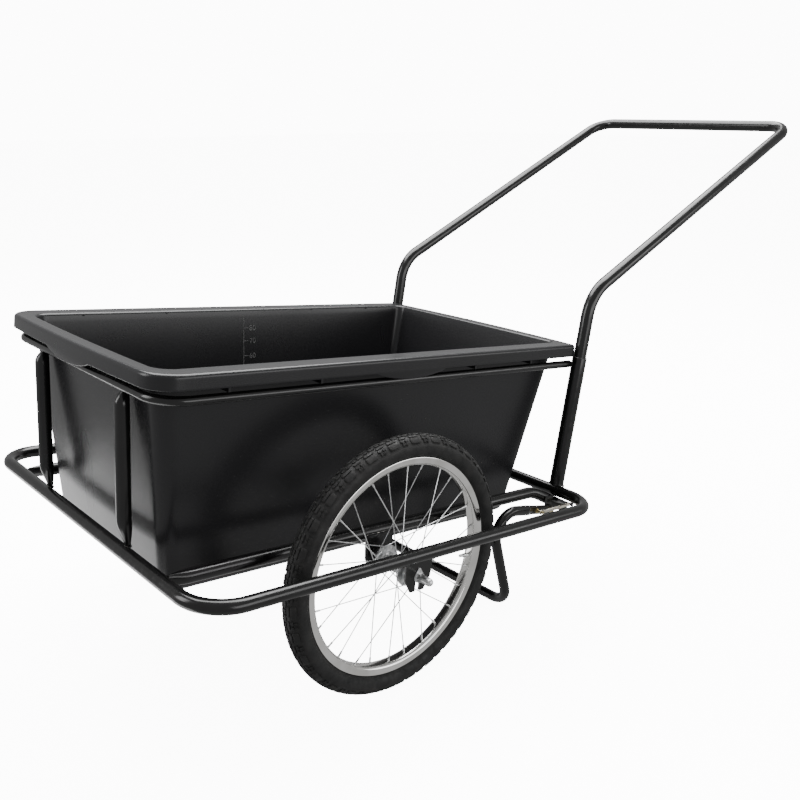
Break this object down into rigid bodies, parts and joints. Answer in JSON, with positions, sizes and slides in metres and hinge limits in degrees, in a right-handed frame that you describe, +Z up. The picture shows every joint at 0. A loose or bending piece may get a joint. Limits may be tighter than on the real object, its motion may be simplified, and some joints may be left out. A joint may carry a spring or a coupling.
{
  "type": "garden handcart",
  "caption": "Two-wheeled garden handcart: a deep black plastic tub hung by its lip in a bent tube frame, spoked wheels, a plug-in pull handle and a spring-held folding stand.",
  "frame": {"origin": "on the ground under the middle of the cart's bounding box, parked on its stand", "axes": "+X runs from the tub's front to the grip of the handle, +Y across the cart, +Z up"},
  "size_m": [1.8928, 0.91, 1.0134],
  "materials": {
    "black_paint": "gloss black powder coat",
    "zinc_plate": "bright zinc",
    "yellow_zinc": "yellow passivated zinc",
    "chrome_rim": "chrome plate",
    "bearing_steel": "polished",
    "black_plastic": "satin moulded plastic",
    "tyre_rubber": "matte",
    "tube_rubber": "matte"
  },
  "bodies": {
    "frame": {"bumper_loop": "black_paint", "rail_left": "black_paint", "rail_right": "black_paint", "rim_frame": "black_paint", "front_post_left": "black_paint", "front_post_right": "black_paint", "rear_post_left": "black_paint", "rear_post_right": "black_paint", "outer_dropout_left": "black_paint", "outer_dropout_right": "black_paint", "inner_dropout_left": "black_paint", "inner_dropout_right": "black_paint", "stand_bracket_left": "black_paint", "stand_bracket_right": "black_paint", "handle": "black_paint", "handle_screws": "zinc_plate", "axle_left": "zinc_plate", "axle_right": "zinc_plate", "cones_left": "zinc_plate", "cones_right": "zinc_plate", "locknuts_left": "zinc_plate", "locknuts_right": "zinc_plate", "tab_washers_left": "zinc_plate", "tab_washers_right": "zinc_plate", "axle_nuts_left": "zinc_plate", "axle_nuts_right": "zinc_plate", "cap_nut_left": "zinc_plate", "cap_nut_right": "zinc_plate", "spring_hooks": "black_paint", "pivot_bolts": "yellow_zinc", "pivot_nuts": "zinc_plate"},
    "stand": {"stand": "black_paint", "spring_bolts": "yellow_zinc"},
    "tub": {"tub": "black_plastic"},
    "wheel_left": {"tyre_left": "tyre_rubber", "inner_tube_left": "tube_rubber", "rim_left": "chrome_rim", "spokes_left": "zinc_plate", "hub_left": "zinc_plate", "balls_left": "bearing_steel", "dust_caps_left": "zinc_plate", "valve_left": "zinc_plate"},
    "wheel_right": {"tyre_right": "tyre_rubber", "inner_tube_right": "tube_rubber", "rim_right": "chrome_rim", "spokes_right": "zinc_plate", "hub_right": "zinc_plate", "balls_right": "bearing_steel", "dust_caps_right": "zinc_plate", "valve_right": "zinc_plate"},
    "spring_left": {"spring_left": "zinc_plate"},
    "spring_right": {"spring_right": "zinc_plate"}
  },
  "joints": [
    {"name": "wheel_left_spin", "type": "hinge", "parent": "frame", "child": "wheel_left", "pos_m": [-0.50661, -0.362, 0.25], "axis": [0, 1, 0], "continuous": true},
    {"name": "wheel_right_spin", "type": "hinge", "parent": "frame", "child": "wheel_right", "pos_m": [-0.50661, 0.362, 0.25], "axis": [0, 1, 0], "continuous": true},
    {"name": "stand_fold", "type": "hinge", "parent": "frame", "child": "stand", "pos_m": [-0.0194, 0, 0.19718], "axis": [0, -1, 0], "range_deg": [0, 120], "deforming": ["spring_left", "spring_right"]},
    {"name": "spring_left_swing", "type": "hinge", "parent": "frame", "child": "spring_left", "pos_m": [0.03233, -0.34195, 0.19979], "axis": [0, -1, 0], "range_deg": [0, 61.8]},
    {"name": "spring_right_swing", "type": "hinge", "parent": "frame", "child": "spring_right", "pos_m": [0.03233, 0.34195, 0.19979], "axis": [0, -1, 0], "range_deg": [0, 61.8]},
    {"name": "tub_lift", "type": "slide", "parent": "frame", "child": "tub", "axis": [0.124, 0, 0.9923], "range_m": [0, 0.43]}
  ],
  "couplings": [
    {"joint": "spring_left_swing", "follows": "stand_fold", "ratio": 0.5102},
    {"joint": "spring_right_swing", "follows": "stand_fold", "ratio": 0.5102}
  ]
}
